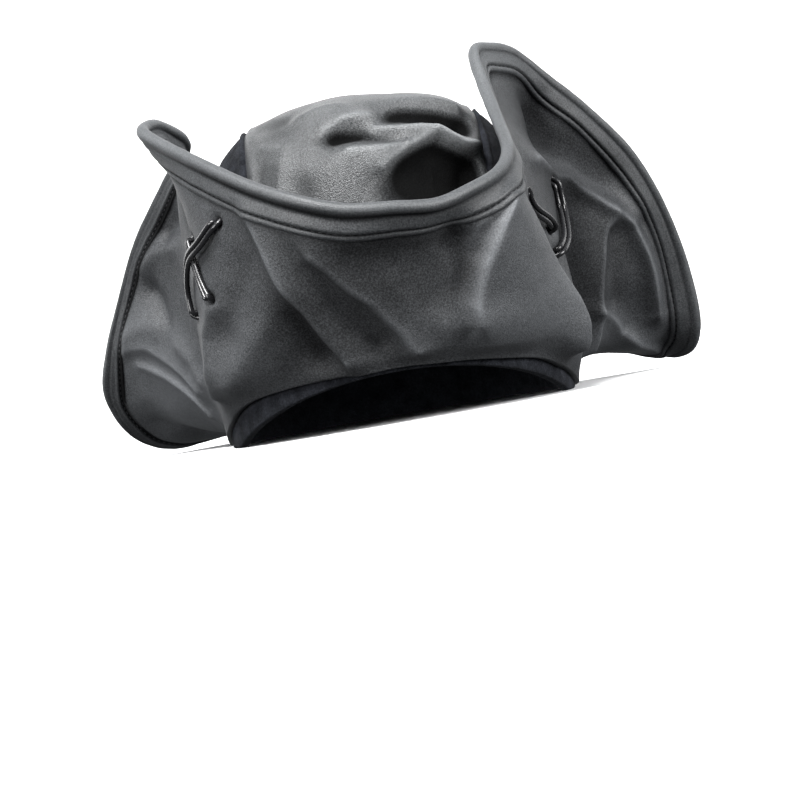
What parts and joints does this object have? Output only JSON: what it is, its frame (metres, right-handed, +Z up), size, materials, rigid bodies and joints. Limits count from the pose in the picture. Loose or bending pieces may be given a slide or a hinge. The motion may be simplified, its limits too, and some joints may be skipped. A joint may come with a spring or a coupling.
{
  "type": "tricorn hat",
  "caption": "Leather tricorn hat with a wired turned-up brim, raised front peak, laced side flaps, low back corners and felt crown sides.",
  "frame": {"origin": "on the surface the hat rests on, under the middle of its outer size", "axes": "+X to the viewer's right with the front peak facing the viewer, +Y from the front peak to the back, +Z up out of the crown"},
  "size_m": [0.3216, 0.2868, 0.1744],
  "materials": {
    "leather": "dark grey leather, soft satin",
    "leather_hem": "dark grey leather, rolled over a wire and stitched",
    "leather_crown": "dark grey leather, glossier, wrinkled",
    "felt": "black felt, matte and fuzzy",
    "felt_band": "black felt, matte",
    "cord": "glossy black lace"
  },
  "bodies": {
    "root": {"brim": "leather", "brim_hem": "leather_hem", "crown_center": "leather_crown", "crown_side_left": "felt", "crown_side_right": "felt", "sweatband": "felt_band", "lace_left": "cord", "lace_right": "cord"}
  },
  "joints": []
}
